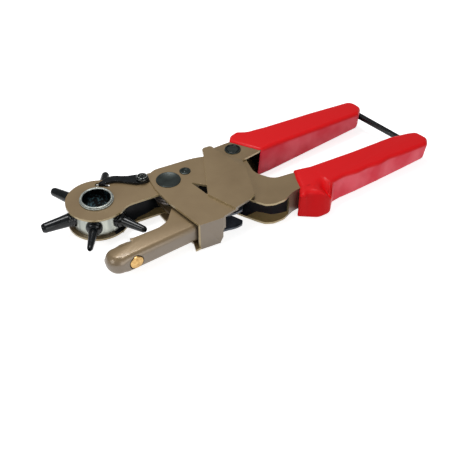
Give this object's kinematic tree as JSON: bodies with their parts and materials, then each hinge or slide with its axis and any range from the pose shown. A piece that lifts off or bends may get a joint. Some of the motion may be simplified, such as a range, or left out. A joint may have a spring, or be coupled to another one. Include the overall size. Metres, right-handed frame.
{
  "type": "hole punch pliers",
  "caption": "Revolving hole punch pliers with a turning drum of punch tubes, a brass anvil, compound levers, moulded grips and a storage latch.",
  "frame": {"origin": "centre of the punch drum's hollow axle, half way between its two ends", "axes": "+X from the drum along the tool to the handles, +Y towards the upper handle, +Z along the drum's axle out of the plate that faces the viewer"},
  "size_m": [0.2507, 0.0896, 0.0228],
  "materials": {
    "taupe_paint": "satin",
    "red_grip": "satin",
    "turned_aluminium": "turned",
    "bright_steel": "polished",
    "dark_rivet": "blackened",
    "blued_steel": "blackened",
    "brass": "polished"
  },
  "bodies": {
    "frame": {"turret_jaw": "taupe_paint", "upper_handle_frame": "taupe_paint", "upper_grip": "red_grip", "drum_axle": "bright_steel", "axle_washers": "bright_steel", "main_pivot_rivet": "dark_rivet", "pivot_bush": "bright_steel", "jaw_shims": "bright_steel", "frame_rivets": "dark_rivet", "handle_pivot_rivet": "dark_rivet", "index_screw": "blued_steel", "latch_catch_pin": "dark_rivet", "return_spring": "blued_steel"},
    "anvil": {"anvil_jaw": "taupe_paint", "brass_anvil": "brass"},
    "lower_handle": {"lower_handle_frame": "taupe_paint", "lower_grip": "red_grip", "thrust_pin": "dark_rivet", "latch_pivot_pin": "dark_rivet"},
    "drum": {"punch_drum": "turned_aluminium", "punch_tube_20": "blued_steel", "punch_tube_25": "blued_steel", "punch_tube_30": "blued_steel", "punch_tube_35": "blued_steel", "punch_tube_40": "blued_steel", "punch_tube_45": "blued_steel"},
    "index": {"index_lever": "blued_steel"},
    "latch": {"latch_hook": "blued_steel"}
  },
  "joints": [
    {"name": "drum_turn", "type": "hinge", "parent": "frame", "child": "drum", "pos_m": [0, 0, 0], "axis": [0, 0, 1], "continuous": true},
    {"name": "handle_close", "type": "hinge", "parent": "frame", "child": "lower_handle", "pos_m": [0.0939, 0.0064, 0], "axis": [0, 0, 1], "range_deg": [0, 18], "stiffness_Nm_per_rad": 0.8, "springref_deg": -5.73},
    {"name": "anvil_swing", "type": "hinge", "parent": "frame", "child": "anvil", "pos_m": [0.045, -0.0036, 0], "axis": [0, 0, 1], "range_deg": [-4.5, 0], "deforming": ["return_spring"]},
    {"name": "index_lift", "type": "hinge", "parent": "frame", "child": "index", "pos_m": [0.03119, 0.00439, 0.0085], "axis": [0.3489, 0.9371, 0], "range_deg": [0, 4], "stiffness_Nm_per_rad": 0.5},
    {"name": "latch_swing", "type": "hinge", "parent": "lower_handle", "child": "latch", "pos_m": [0.20708, -0.03122, 0], "axis": [0, 0, 1], "range_deg": [-70, 0]}
  ],
  "couplings": [
    {"joint": "anvil_swing", "follows": "handle_close", "ratio": -0.25}
  ]
}
